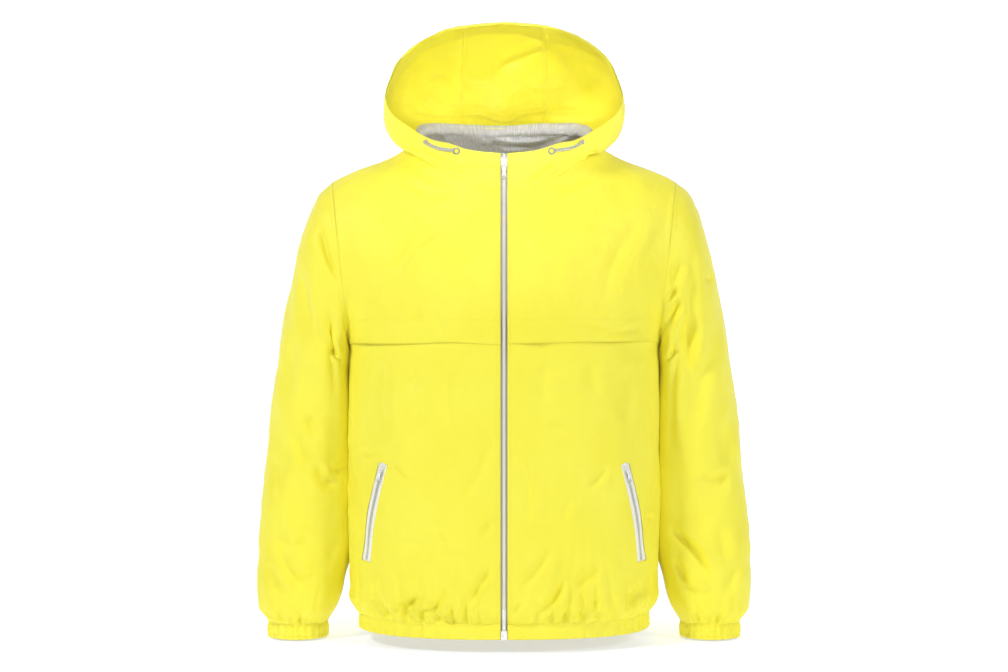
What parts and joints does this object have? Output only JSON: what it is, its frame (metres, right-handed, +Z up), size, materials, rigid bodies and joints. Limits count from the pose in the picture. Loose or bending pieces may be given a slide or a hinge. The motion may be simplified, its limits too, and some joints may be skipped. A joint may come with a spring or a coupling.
{
  "type": "hooded windbreaker jacket",
  "caption": "Light hooded zip jacket, hollow and filled out, with a chest vent flap, zipped side pockets, elastic cuffs and hem, and zip pulls that swing.",
  "frame": {"origin": "inside the yoke between the shoulder points, level with them, where the wearer holds the jacket up", "axes": "+Z up, -Y towards the front zip, +X towards the wearer's left sleeve"},
  "size_m": [0.6922, 0.276, 0.861],
  "materials": {
    "shell": "thin woven nylon, soft sheen",
    "lining": "grey heather jersey",
    "zip_tape": "woven tape",
    "pocket_tape": "woven tape",
    "teeth": "satin coil",
    "metal": "silver satin",
    "cord": "braided"
  },
  "bodies": {
    "jacket": {"back": "shell", "cord_knot_left": "cord", "cord_knot_right": "cord", "cord_left": "cord", "cord_right": "cord", "cuff_left": "shell", "cuff_right": "shell", "eyelet_left": "metal", "eyelet_right": "metal", "front_left": "shell", "front_right": "shell", "hem_band": "shell", "hood_centre": "shell", "hood_hem_left": "shell", "hood_hem_right": "shell", "hood_left": "shell", "hood_right": "shell", "lining_back": "lining", "lining_front_left": "lining", "lining_front_right": "lining", "pocket_left_slider": "metal", "pocket_right_slider": "metal", "pocket_tape_left": "pocket_tape", "pocket_tape_right": "pocket_tape", "pocket_teeth_left": "teeth", "pocket_teeth_right": "teeth", "sleeve_left": "shell", "sleeve_right": "shell", "yoke_left": "shell", "yoke_right": "shell", "zip_box": "metal", "zip_slider": "metal", "zip_tape_left": "zip_tape", "zip_tape_right": "zip_tape", "zip_teeth": "teeth"},
    "zip_pull_tab": {"zip_pull": "metal"},
    "pocket_left_pull_tab": {"pocket_left_pull": "metal"},
    "pocket_right_pull_tab": {"pocket_right_pull": "metal"}
  },
  "joints": [
    {"name": "zip_pull_swing", "type": "hinge", "parent": "jacket", "child": "zip_pull_tab", "pos_m": [0, -0.10606, 0.02205], "axis": [-1, 0, 0], "range_deg": [0, 150]},
    {"name": "pocket_left_pull_swing", "type": "hinge", "parent": "jacket", "child": "pocket_left_pull_tab", "pos_m": [0.16525, -0.10456, -0.38865], "axis": [-0.8158, -0.4878, -0.3108], "range_deg": [0, 150]},
    {"name": "pocket_right_pull_swing", "type": "hinge", "parent": "jacket", "child": "pocket_right_pull_tab", "pos_m": [-0.16525, -0.10456, -0.38865], "axis": [-0.8158, 0.4878, 0.3108], "range_deg": [0, 150]}
  ]
}
